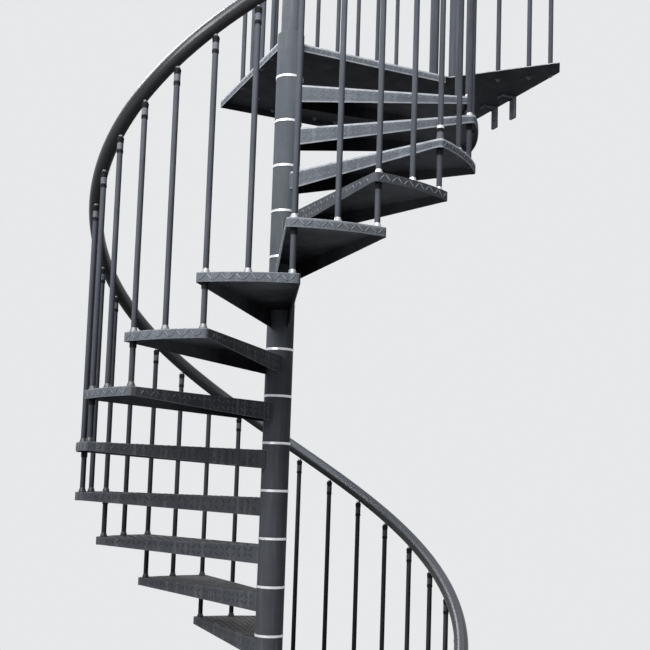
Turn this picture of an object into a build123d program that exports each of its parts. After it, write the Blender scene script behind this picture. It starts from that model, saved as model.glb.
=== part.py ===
from build123d import *
import os
from math import asin, atan2, cos, degrees, hypot, radians, sin, sqrt

# Outdoor steel spiral staircase with a landing that reaches a terrace edge.
# The pole's axis is Z and the floor is z = 0. The stair climbs counter-clockwise
# seen from above. The terrace edge is the plane x = wall_x, and the landing runs
# from the pole towards it along +X. All sizes are in millimetres.

# Levels and turning
riser = 195.0
tread_count = 17
tread_turn = 22.5
landing_turn = 3.5

# Pole, hub sleeves and the zinc rings between them
pole_radius = 44.45
pole_wall = 4.0
hub_radius = 57.15
hub_wall = 5.0
hub_rise = 30.0
ring_radius = 59.0
ring_height = 10.0
ring_fit = 0.3

# Base flange
flange_radius = 130.0
flange_thickness = 12.0
flange_hole_circle = 100.0
flange_hole_radius = 7.0
flange_hole_count = 4

# Treads: folded trays of sheet steel, welded to their hub sleeves
tread_radius = 805.0
edge_overhang = 28.0
sheet = 4.0
tip_lip = 34.0
hub_lip = 75.0
corner_round = 14.0

# Balusters, their feet, the spacers that tie one tread to the next
baluster_inset = 26.0
baluster_radius = 10.65
foot_radius = 15.0
foot_rim = 5.0
foot_height = 18.0
collar_radius = 13.0
collar_drop = 16.0

# Swivel adapters between baluster and handrail: a grey knuckle between two black
# rings, a domed saddle and a small pad that meets the rail's underside
adapter_ring_radius = 12.5
adapter_ring_height = 11.0
knuckle_radius = 11.8
knuckle_height = 29.0
knuckle_chamfer = 2.5
saddle_radius = 13.5
saddle_height = 12.0
saddle_rim = 3.0
pad_radius = 9.5
pad_top_radius = 6.0
pad_height = 7.0
rail_clearance = 0.3

# Handrails
rail_height = 900.0
rail_radius = 28.0
rail_end_run = 60.0
rail_cap_dome = 9.0

# Landing
landing_reach = 380.0
landing_left = -50.0
landing_front = -15.0
landing_back = 800.0
landing_near_inset = 19.0
landing_side_front = -390.0
landing_corner_cut = 63.0
landing_corner_rise = 85.0
landing_lip = 34.0
guard_inset = 28.0
guard_spacing = 130.0
guard_back_spacing = 116.5
guard_corner_cut = 227.0
guard_left_gap = 15.0
guard_back_gap = 13.0
guard_bend_radius = 150.0
side_guard_inset = 60.0
side_guard_angle = -40.7
side_guard_first = 65.0
side_guard_spacing = 140.0
side_guard_wall_gap = 20.0
side_rail_overrun = 6.0
rail_wall_gap = 4.0
post_radius = 25.0
post_wall = 3.0
post_foot_radius = 34.0
post_foot_height = 8.0

# Wall brackets under the landing
bracket_width = 40.0
bracket_thickness = 12.0
bracket_reach = 80.0
bracket_leg = 103.0
bracket_hole_radius = 6.0
bracket_hole_drop = 65.0
bracket_places = (50.0, 206.0, 500.0, 656.0)

# Pole cap
pole_top_margin = 20.0
cap_plate = 4.0
cap_dome = 14.0

# Values worked out from the sizes above
baluster_circle = tread_radius - baluster_inset
wall_x = tread_radius + landing_reach
landing_level = (tread_count + 1) * riser
rail_level = landing_level + rail_height
pole_top = rail_level + rail_radius + pole_top_margin
pitch_height = 360 / tread_turn * riser
slope = atan2(riser, radians(tread_turn) * baluster_circle)
adapter_height = 2 * adapter_ring_height + knuckle_height + saddle_height + pad_height


def polar(radius, angle, height=0.0):
    """A point at a radius and an angle in degrees about the pole."""
    return (radius * cos(radians(angle)), radius * sin(radians(angle)), height)


def nominal_angle(step):
    """Angle of the radial line on which tread number step begins."""
    return landing_turn - (tread_count + 1 - step) * tread_turn


def turned_plane(angle, height):
    """A level plane whose x axis points outwards at an angle."""
    return Plane(origin=(0, 0, height), x_dir=polar(1, angle), z_dir=(0, 0, 1))


def edge_plane(angle, height, offset):
    """An upright plane along a tread's side edge, offset from the radial line.

    Its x axis points outwards and its y axis points down."""
    tangent = polar(1, angle + 90)
    origin = (tangent[0] * offset, tangent[1] * offset, height)
    return Plane(origin=origin, x_dir=polar(1, angle), z_dir=tangent)


def wedge_face(radius, overhang, inner_radius, corner):
    """Face of a tread: two straight sides parallel to the radial lines and an arc."""
    front_end = -degrees(asin(overhang / radius))
    rear_end = tread_turn - front_end
    front_start = -degrees(asin(overhang / inner_radius))
    rear_start = tread_turn - front_start
    with BuildSketch() as face:
        with BuildLine():
            front = Line(polar(inner_radius, front_start), polar(radius, front_end))
            arc = CenterArc((0, 0), radius, front_end, rear_end - front_end)
            rear = Line(arc @ 1, polar(inner_radius, rear_start))
            Line(rear @ 1, front @ 0)
        make_face()
        outer = face.vertices().sort_by(SortBy.DISTANCE)[-2:]
        fillet(outer, corner)
    return face.sketch


def adapter_profile():
    """Half section of a swivel adapter from the tube's end up to the handrail."""
    first = adapter_ring_height
    second = first + knuckle_height
    third = second + adapter_ring_height
    fourth = third + saddle_height
    with BuildSketch() as profile:
        with BuildLine():
            Polyline(
                (0, 0),
                (adapter_ring_radius, 0),
                (adapter_ring_radius, first),
                (knuckle_radius - knuckle_chamfer, first),
                (knuckle_radius, first + knuckle_chamfer),
                (knuckle_radius, second - knuckle_chamfer),
                (knuckle_radius - knuckle_chamfer, second),
                (adapter_ring_radius, second),
                (adapter_ring_radius, third),
                (saddle_radius, third),
                (saddle_radius, third + saddle_rim),
            )
            RadiusArc((saddle_radius, third + saddle_rim), (pad_radius, fourth), -saddle_height)
            Polyline(
                (pad_radius, fourth),
                (pad_top_radius, fourth + pad_height),
                (0, fourth + pad_height),
                (0, 0),
            )
        make_face()
    return profile.sketch


def rail_drop(slope_angle):
    """Height from an adapter's top up to the axis of a rail that slopes over it."""
    side_reach = pad_top_radius * sin(slope_angle)
    return (rail_radius + rail_clearance + side_reach) / cos(slope_angle)


def tube_top(rail_axis_height, slope_angle):
    """Height at which a baluster's tube ends under a handrail."""
    return rail_axis_height - rail_drop(slope_angle) - adapter_height


def rail_axis(turns_from_first):
    """Height of the stair's handrail axis, in treads counted from the first one."""
    return riser * (1 + turns_from_first) + rail_height


# Places of the balusters on the stair: (angle, foot level, tube top)
stair_balusters = []
for half_step in range(2 * tread_count + 1):
    place = half_step / 2
    angle = nominal_angle(1) + place * tread_turn
    foot = riser * (1 + half_step // 2)
    stair_balusters.append((angle, foot, tube_top(rail_axis(place), slope)))

# The floor-standing newel carries the lower end of the handrail half a tread out
newel_angle = nominal_angle(1) - tread_turn / 2
newel_top = tube_top(rail_axis(-0.5), slope)

# Landing guard: left side, cut corner and back, as plan points
guard_x = landing_left + guard_inset
guard_y = landing_back - guard_inset
guard_left_first = guard_y - guard_corner_cut + guard_left_gap
guard_left = [(guard_x, guard_left_first - guard_spacing * i) for i in range(4)]
guard_corner = (guard_x + guard_corner_cut / 2, guard_y - guard_corner_cut / 2)
guard_back_first = guard_x + guard_corner_cut + guard_back_gap
guard_back = [(guard_back_first + guard_back_spacing * i, guard_y) for i in range(8)]
wall_post = (wall_x - post_foot_radius, guard_y)

# Slanting edge from the landing's near corner, cut off just before the wall
side_start = (tread_radius - landing_near_inset, landing_front)
side_end = (wall_x - landing_corner_cut, landing_side_front)
wall_corner = (wall_x, landing_side_front + landing_corner_rise)
side_length = hypot(side_end[0] - side_start[0], side_end[1] - side_start[1])
side_run = ((side_end[0] - side_start[0]) / side_length, (side_end[1] - side_start[1]) / side_length)


def side_point(along, inset):
    """A plan point along the slanting edge, set in from it by a distance."""
    return (
        side_start[0] + side_run[0] * along - side_run[1] * inset,
        side_start[1] + side_run[1] * along + side_run[0] * inset,
    )


# Side guard: it leaves the slanting edge a little on its way from its post to the wall
corner_post = side_point(0, side_guard_inset)
guard_run = (cos(radians(side_guard_angle)), sin(radians(side_guard_angle)))
guard_reach = (wall_x - side_guard_wall_gap - corner_post[0]) / guard_run[0]


def guard_point(along):
    """A plan point along the side guard, from its post."""
    return (corner_post[0] + guard_run[0] * along, corner_post[1] + guard_run[1] * along)


side_guard = [guard_point(side_guard_first + side_guard_spacing * i) for i in range(3)]
side_guard.append(guard_point(guard_reach))

# Base flange with its anchor holes
with BuildPart() as base_flange:
    with BuildSketch():
        Circle(flange_radius)
        with PolarLocations(flange_hole_circle, flange_hole_count, start_angle=45):
            Circle(flange_hole_radius, mode=Mode.SUBTRACT)
    extrude(amount=flange_thickness)
    chamfer(base_flange.faces().sort_by(Axis.Z)[-1].outer_wire().edges(), 2)
base_flange.part.label = "base_flange"
export_step(base_flange.part, "parts/base_flange.step")

# Pole: one tube from the flange to above the landing's guard
with BuildPart() as centre_pole:
    with BuildSketch(Plane.XY.offset(flange_thickness)):
        Circle(pole_radius)
        Circle(pole_radius - pole_wall, mode=Mode.SUBTRACT)
    extrude(amount=pole_top - flange_thickness)
centre_pole.part.label = "centre_pole"
export_step(centre_pole.part, "parts/centre_pole.step")

# Domed cap on the pole
dome_radius = ((pole_radius + 2) ** 2 + cap_dome**2) / (2 * cap_dome)
with BuildPart() as pole_cap:
    with BuildSketch(Plane.XZ):
        with BuildLine():
            Line((0, pole_top), (pole_radius + 2, pole_top))
            Line((pole_radius + 2, pole_top), (pole_radius + 2, pole_top + cap_plate))
            RadiusArc(
                (pole_radius + 2, pole_top + cap_plate),
                (0, pole_top + cap_plate + cap_dome),
                -dome_radius,
            )
            Line((0, pole_top + cap_plate + cap_dome), (0, pole_top))
        make_face()
    revolve(axis=Axis.Z)
pole_cap.part.label = "pole_cap"
export_step(pole_cap.part, "parts/pole_cap.step")

# Zinc rings: one above each tread's hub, one solid each
with BuildPart() as spacer_rings:
    for step in range(1, tread_count + 1):
        ring_bottom = step * riser + hub_rise - ring_height / 2
        with BuildSketch(Plane.XY.offset(ring_bottom)):
            Circle(ring_radius)
            Circle(pole_radius + ring_fit, mode=Mode.SUBTRACT)
        extrude(amount=ring_height)
spacer_rings.part.label = "spacer_rings"
export_step(spacer_rings.part, "parts/spacer_rings.step")

# Treads: tray, tapered side lips and hub sleeve in one welded piece
inner_radius = hub_radius - hub_wall / 2
edge_start = sqrt(inner_radius**2 - edge_overhang**2)
edge_end = sqrt(tread_radius**2 - edge_overhang**2) - 2 * corner_round
tread_face = wedge_face(tread_radius, edge_overhang, inner_radius, corner_round)
tread_hollow = wedge_face(
    tread_radius - sheet, edge_overhang - sheet, inner_radius, corner_round - sheet
)
for step in range(1, tread_count + 1):
    top = step * riser
    angle = nominal_angle(step)
    sleeve_top = top + hub_rise - ring_height / 2
    sleeve_bottom = top - riser + hub_rise + ring_height / 2
    if step == 1:
        sleeve_bottom = flange_thickness
    with BuildPart() as tread:
        with BuildSketch(turned_plane(angle, top)):
            add(tread_face)
        extrude(amount=-tip_lip)
        with BuildSketch(turned_plane(angle, top - sheet)):
            add(tread_hollow)
        extrude(amount=-tip_lip, mode=Mode.SUBTRACT)
        for side_angle, side in ((angle, -1), (angle + tread_turn, 1)):
            with BuildSketch(edge_plane(side_angle, top, side * edge_overhang)):
                with BuildLine():
                    Polyline(
                        (edge_start, 0),
                        (edge_end, 0),
                        (edge_end, tip_lip),
                        (edge_start, hub_lip),
                        close=True,
                    )
                make_face()
            extrude(amount=-side * sheet)
        with BuildSketch(Plane.XY.offset(sleeve_bottom)):
            Circle(hub_radius)
        extrude(amount=sleeve_top - sleeve_bottom)
        with BuildSketch(Plane.XY.offset(sleeve_bottom)):
            Circle(hub_radius - hub_wall)
        extrude(amount=sleeve_top - sleeve_bottom, mode=Mode.SUBTRACT)
    tread.part.label = f"tread_{step:02d}"
    export_step(tread.part, f"parts/tread_{step:02d}.step")

# Balusters of the stair: round tubes in three flights, each tube its own solid
flight_share = 2 * tread_count // 3 + 1
flights = {
    "lower": (0, flight_share),
    "middle": (flight_share, 2 * flight_share),
    "upper": (2 * flight_share, 2 * tread_count + 1),
}
for name, (first, last) in flights.items():
    with BuildPart() as balusters:
        for angle, foot, top in stair_balusters[first:last]:
            bottom = foot + foot_height
            with BuildSketch(Plane(origin=polar(baluster_circle, angle, bottom))):
                Circle(baluster_radius)
            extrude(amount=top - bottom)
    balusters.part.label = f"balusters_{name}"
    export_step(balusters.part, f"parts/balusters_{name}.step")

# Tie spacers: short tubes from one tread's rear corner up to the next tread
with BuildPart() as tie_spacers:
    for step in range(1, tread_count + 2):
        bottom = (step - 1) * riser + foot_height
        top = step * riser - sheet - tip_lip - collar_drop
        with BuildSketch(Plane(origin=polar(baluster_circle, nominal_angle(step), bottom))):
            Circle(baluster_radius)
        extrude(amount=top - bottom)
tie_spacers.part.label = "tie_spacers"
export_step(tie_spacers.part, "parts/tie_spacers.step")

# Black collars between each tie spacer and the sheet of the tread above it
with BuildPart() as tie_collars:
    for step in range(1, tread_count + 2):
        bottom = step * riser - sheet - tip_lip - collar_drop
        with BuildSketch(Plane(origin=polar(baluster_circle, nominal_angle(step), bottom))):
            Circle(collar_radius)
        extrude(amount=tip_lip + collar_drop)
tie_collars.part.label = "tie_collars"
export_step(tie_collars.part, "parts/tie_collars.step")

# Zinc feet: small bells under each baluster and under each tie spacer
with BuildSketch() as foot_section:
    with BuildLine():
        Polyline(
            (0, 0),
            (foot_radius, 0),
            (foot_radius, foot_rim),
            (baluster_radius, foot_height),
            (0, foot_height),
            close=True,
        )
    make_face()
foot_places = [polar(baluster_circle, angle, foot) for angle, foot, top in stair_balusters]
tie_places = [
    polar(baluster_circle, nominal_angle(step), (step - 1) * riser)
    for step in range(1, tread_count + 2)
]
landing_places = [(x, y, landing_level) for x, y in guard_left + [guard_corner] + guard_back]
side_places = [(x, y, landing_level) for x, y in side_guard]
foot_groups = {
    "stair": foot_places,
    "tie": tie_places,
    "landing": landing_places + side_places,
}
for name, places in foot_groups.items():
    with BuildPart() as feet:
        for place in places:
            with BuildSketch(Plane(origin=place, x_dir=(1, 0, 0), z_dir=(0, -1, 0))):
                add(foot_section.sketch)
            revolve(axis=Axis(place, (0, 0, 1)))
    feet.part.label = f"{name}_feet"
    export_step(feet.part, f"parts/{name}_feet.step")

# Landing balusters: left side, cut corner, back and the slanting side
flat_top = tube_top(rail_level, 0)
with BuildPart() as landing_balusters:
    for x, y, z in landing_places + side_places:
        with BuildSketch(Plane(origin=(x, y, z + foot_height))):
            Circle(baluster_radius)
        extrude(amount=flat_top - z - foot_height)
landing_balusters.part.label = "landing_balusters"
export_step(landing_balusters.part, "parts/landing_balusters.step")

# Swivel adapters on top of every baluster and post
stair_adapter_places = [polar(baluster_circle, angle, top) for angle, foot, top in stair_balusters]
stair_adapter_places.append(polar(baluster_circle, newel_angle, newel_top))
landing_adapter_places = [(x, y, flat_top) for x, y, z in landing_places + side_places]
landing_adapter_places += [(*corner_post, flat_top), (*wall_post, flat_top)]
adapter_section = adapter_profile()
adapter_groups = {"stair": stair_adapter_places, "landing": landing_adapter_places}
for name, places in adapter_groups.items():
    with BuildPart() as adapters:
        for place in places:
            with BuildSketch(Plane(origin=place, x_dir=(1, 0, 0), z_dir=(0, -1, 0))):
                add(adapter_section)
            revolve(axis=Axis(place, (0, 0, 1)))
    adapters.part.label = f"{name}_rail_adapters"
    export_step(adapters.part, f"parts/{name}_rail_adapters.step")

# Posts: floor newel, the landing's near corner and the wall end of its back guard
posts = {
    "bottom_newel": (*polar(baluster_circle, newel_angle)[:2], 0, newel_top),
    "landing_corner_post": (*corner_post, landing_level, flat_top),
    "landing_wall_post": (*wall_post, landing_level, flat_top),
}
for name, (x, y, bottom, top) in posts.items():
    with BuildPart() as post:
        with BuildSketch(Plane(origin=(x, y, bottom))):
            Circle(post_foot_radius)
        extrude(amount=post_foot_height)
        with BuildSketch(Plane(origin=(x, y, bottom))):
            Circle(post_radius)
        extrude(amount=top - bottom)
        with BuildSketch(Plane(origin=(x, y, bottom + post_foot_height))):
            Circle(post_radius - post_wall)
        extrude(amount=top - bottom - 2 * post_foot_height, mode=Mode.SUBTRACT)
    post.part.label = name
    export_step(post.part, f"parts/{name}.step")

# Handrail of the stair: a round bar along the baluster circle, in equal lengths
rail_start = -0.5 - rail_end_run / (radians(tread_turn) * baluster_circle)
rail_finish = tread_count + 0.15
rail_share = (rail_finish - rail_start) / len(flights)
rail_lines = []
for index, name in enumerate(flights):
    first = rail_start + index * rail_share
    placing = Location((0, 0, rail_axis(first)), (0, 0, nominal_angle(1) + first * tread_turn))
    rail_line = placing * Helix(pitch_height, rail_share * riser, baluster_circle)
    rail_lines.append(rail_line)
    with BuildPart() as handrail:
        with BuildSketch(Plane(origin=rail_line @ 0, z_dir=rail_line % 0)):
            Circle(rail_radius)
        sweep(path=rail_line, is_frenet=True)
    handrail.part.label = f"handrail_{name}"
    export_step(handrail.part, f"parts/handrail_{name}.step")

# Domed caps on the two free ends of the stair's handrail
rail_ends = [
    (rail_lines[0] @ 0, rail_lines[0] % 0 * -1),
    (rail_lines[-1] @ 1, rail_lines[-1] % 1),
]
rail_dome_radius = (rail_radius**2 + rail_cap_dome**2) / (2 * rail_cap_dome)
with BuildPart() as handrail_caps:
    for end, outward in rail_ends:
        across = Vector(end.X, end.Y, 0).normalized()
        with BuildSketch(Plane(origin=end, x_dir=across, z_dir=across.cross(outward))):
            with BuildLine():
                Line((0, 0), (rail_radius, 0))
                RadiusArc((rail_radius, 0), (0, rail_cap_dome), -rail_dome_radius)
                Line((0, rail_cap_dome), (0, 0))
            make_face()
        revolve(axis=Axis(end, outward))
handrail_caps.part.label = "handrail_caps"
export_step(handrail_caps.part, "parts/handrail_caps.step")

# Landing: a flat tray on the pole's top hub, open along the wall and the slanting edge
landing_outline = [
    (landing_left, landing_front),
    side_start,
    side_end,
    wall_corner,
    (wall_x, landing_back),
    (landing_left, landing_back),
]
past_edge = 5 * sheet
past_near = past_edge * side_run[0] / side_run[1]
past_far = (wall_x + past_edge - side_start[0] - side_run[1] * past_edge) / side_run[0]
hollow_outline = [
    (landing_left, landing_front),
    side_point(past_near, -past_edge),
    side_point(past_far, -past_edge),
    (wall_x + past_edge, landing_back),
    (landing_left, landing_back),
]
with BuildPart() as landing_plate:
    with BuildSketch(Plane.XY.offset(landing_level)):
        with BuildLine():
            Polyline(*landing_outline, close=True)
        make_face()
    extrude(amount=-landing_lip)
    with BuildSketch(Plane.XY.offset(landing_level - sheet)):
        with BuildLine():
            Polyline(*hollow_outline, close=True)
        make_face()
        offset(amount=-sheet, kind=Kind.INTERSECTION, mode=Mode.REPLACE)
    extrude(amount=-landing_lip, mode=Mode.SUBTRACT)
    hub_bottom = landing_level - riser + hub_rise + ring_height / 2
    with BuildSketch(Plane.XY.offset(hub_bottom)):
        Circle(hub_radius)
    extrude(amount=landing_level + hub_rise - hub_bottom)
    with BuildSketch(Plane.XY.offset(hub_bottom)):
        Circle(hub_radius - hub_wall)
    extrude(amount=landing_level + hub_rise - hub_bottom, mode=Mode.SUBTRACT)
landing_plate.part.label = "landing_plate"
export_step(landing_plate.part, "parts/landing_plate.step")

# Wall brackets: angle bars under the landing, each with a bolt hole in its leg
bracket_top = landing_level - sheet
bracket_section = [
    (wall_x - bracket_reach, bracket_top),
    (wall_x, bracket_top),
    (wall_x, bracket_top - bracket_leg),
    (wall_x - bracket_thickness, bracket_top - bracket_leg),
    (wall_x - bracket_thickness, bracket_top - bracket_thickness),
    (wall_x - bracket_reach, bracket_top - bracket_thickness),
]
with BuildPart() as wall_brackets:
    for y in bracket_places:
        with BuildSketch(Plane(origin=(0, y, 0), x_dir=(1, 0, 0), z_dir=(0, -1, 0))):
            with BuildLine():
                Polyline(*bracket_section, close=True)
            make_face()
        extrude(amount=bracket_width / 2, both=True)
        hole_centre = (wall_x, y, bracket_top - bracket_hole_drop)
        with BuildSketch(Plane(origin=hole_centre, z_dir=(-1, 0, 0))):
            Circle(bracket_hole_radius)
        extrude(amount=bracket_thickness, mode=Mode.SUBTRACT)
wall_brackets.part.label = "wall_brackets"
export_step(wall_brackets.part, "parts/wall_brackets.step")

# Guard rail round the landing, from the pole to the wall
with BuildPart() as landing_rail:
    with BuildLine() as guard_line:
        FilletPolyline(
            (guard_x, pole_radius, rail_level),
            (guard_x, guard_y - guard_corner_cut, rail_level),
            (guard_x + guard_corner_cut, guard_y, rail_level),
            (wall_x - rail_wall_gap, guard_y, rail_level),
            radius=guard_bend_radius,
        )
    with BuildSketch(Plane(origin=guard_line.line @ 0, z_dir=guard_line.line % 0)):
        Circle(rail_radius)
    sweep(path=guard_line.line)
landing_rail.part.label = "landing_rail"
export_step(landing_rail.part, "parts/landing_rail.step")

# Side rail over the slanting guard
side_rail_start = guard_point(-side_rail_overrun)
side_rail_reach = wall_x - rail_wall_gap - rail_radius * abs(guard_run[1]) - side_rail_start[0]
with BuildPart() as side_rail:
    direction = (guard_run[0], guard_run[1], 0)
    with BuildSketch(Plane(origin=(*side_rail_start, rail_level), z_dir=direction)):
        Circle(rail_radius)
    extrude(amount=side_rail_reach / guard_run[0])
side_rail.part.label = "side_rail"
export_step(side_rail.part, "parts/side_rail.step")
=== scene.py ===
import random
from math import asin, cos, degrees, hypot, pi, radians, sin, sqrt

import bpy
from mathutils import Matrix, Vector


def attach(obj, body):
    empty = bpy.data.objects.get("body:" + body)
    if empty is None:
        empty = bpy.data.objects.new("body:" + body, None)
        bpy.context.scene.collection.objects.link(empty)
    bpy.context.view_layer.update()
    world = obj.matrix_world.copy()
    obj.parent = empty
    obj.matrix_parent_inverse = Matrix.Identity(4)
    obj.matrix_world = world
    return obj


# The staircase's finish: worn graphite powder coat on chequer plate, black handrail,
# zinc rings and feet. Every size is in metres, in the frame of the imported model.
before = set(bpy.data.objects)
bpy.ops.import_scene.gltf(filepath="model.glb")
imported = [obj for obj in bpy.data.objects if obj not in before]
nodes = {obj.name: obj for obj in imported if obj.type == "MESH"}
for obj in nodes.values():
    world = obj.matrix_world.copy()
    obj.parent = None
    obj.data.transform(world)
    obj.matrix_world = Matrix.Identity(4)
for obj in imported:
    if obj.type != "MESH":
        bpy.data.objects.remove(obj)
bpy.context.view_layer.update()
random.seed(18)

# Sizes shared with the construction
riser = 0.195
tread_count = 17
# Tread whose lips get a darker paint: painted shade
shade_tread = 14
tall_foot_tread = 15
tread_turn = 22.5
landing_turn = 3.5
hub_radius = 0.05715
tread_radius = 0.805
edge_overhang = 0.028
sheet = 0.004
tip_lip = 0.034
hub_lip = 0.075
corner_round = 0.014
baluster_circle = 0.779
baluster_radius = 0.01065
foot_radius = 0.015
adapter_ring = 0.011
adapter_knuckle = 0.029
adapter_saddle = 0.012
band_margin = 0.0005
lip_end = sqrt(tread_radius**2 - edge_overhang**2) - 2 * corner_round
landing_level = (tread_count + 1) * riser
landing_left = -0.050
landing_front = -0.015
landing_back = 0.800
wall_x = 1.185
side_start = (0.786, -0.015)
side_end = (1.122, -0.390)
wall_corner = (1.185, -0.305)

# Chequer plate: raised bars that alternate in direction on a square lattice
bar_pitch = 0.0255
bar_length = 0.028
bar_width = 0.0074
tip_bar_length = 0.036
bar_height = 0.0014
bar_sink = 0.0002
bar_margin = 0.002
bar_half_spread = bar_length * 0.36
# How light the bars' crowns turn: partly worn paint, partly painted highlight; on the tip lips the bars of
# one direction carry the painted highlight
plain_wear_and_highlight = 0.5
tip_wear_and_highlight = (0.15, 1.0)
lip_bar_shift = 0.008
landing_bar_shift = (0.016, 0.012)

# No tread reaches farther than this to the side of its bisector
tread_half_width = 0.25

# The landing's front lip begins here, clear of the hub
front_lip_start = 0.075

# By the hub: the seam that bars keep clear of, and how near a face belongs to the sleeve
hub_seam = 0.008
hub_face = 0.001

# Photograph's view
camera_distance = 4.232
camera_bearing = -111.5
camera_height = 1.637
camera_heading = 65.74
camera_pitch = 5.31
camera_roll = 1.89
picture_width = 650
focal_pixels = 1017.34
centre_column = 327.09
centre_row = 386.38
sensor_width = 36.0

# Painted light and shade: the paint lightens from and to these heights, and more on the lit side
painted_light_from = 1.1
painted_light_to = 3.2
painted_side_light_share = 0.42
lit_side = (-0.90, -0.15, 0.42)

# Painted highlights along the lips: how wide they are at the fold and at the lower
# edge, from full to none, and the heights between which they come in
fold_band = (0.0058, 0.0090)
lower_band = (0.0045, 0.0085)
fold_highlight_heights = (2.42, 2.90)

# Studio
background_tone = (0.80, 0.81, 0.82)
ambient_tone = (0.20, 0.212, 0.232)
floor_tone = (0.50, 0.50, 0.50)
floor_radius = 40.0
floor_sides = 96
floor_level = -0.0005
floor_fade_start = 2.4
floor_fade_end = 5.0


def nominal_angle(step):
    """Angle in degrees of the radial line on which tread number step begins."""
    return landing_turn - (tread_count + 1 - step) * tread_turn


def polar(radius, angle, height=0.0):
    """A point at a radius and an angle in degrees about the pole."""
    return Vector((radius * cos(radians(angle)), radius * sin(radians(angle)), height))


# Camera
def make_camera():
    """The photograph's camera: place, heading, roll and the shift of its crop."""
    heading = radians(camera_heading)
    pitch = radians(camera_pitch)
    roll = radians(camera_roll)
    forward = Vector((cos(heading) * cos(pitch), sin(heading) * cos(pitch), sin(pitch)))
    level_right = Vector((sin(heading), -cos(heading), 0.0))
    level_up = level_right.cross(forward)
    right = level_right * cos(roll) + level_up * sin(roll)
    up = level_up * cos(roll) - level_right * sin(roll)
    data = bpy.data.cameras.new("camera")
    data.sensor_width = sensor_width
    data.lens = focal_pixels / picture_width * sensor_width
    data.shift_x = (picture_width / 2 - centre_column) / picture_width
    data.shift_y = (centre_row - picture_width / 2) / picture_width
    data.clip_start = 0.05
    data.clip_end = 200.0
    camera = bpy.data.objects.new("camera", data)
    turn = Matrix((right, up, -forward)).transposed().to_4x4()
    place = polar(camera_distance, camera_bearing, camera_height)
    camera.matrix_world = Matrix.Translation(place) @ turn
    bpy.context.scene.collection.objects.link(camera)
    bpy.context.scene.camera = camera


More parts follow.
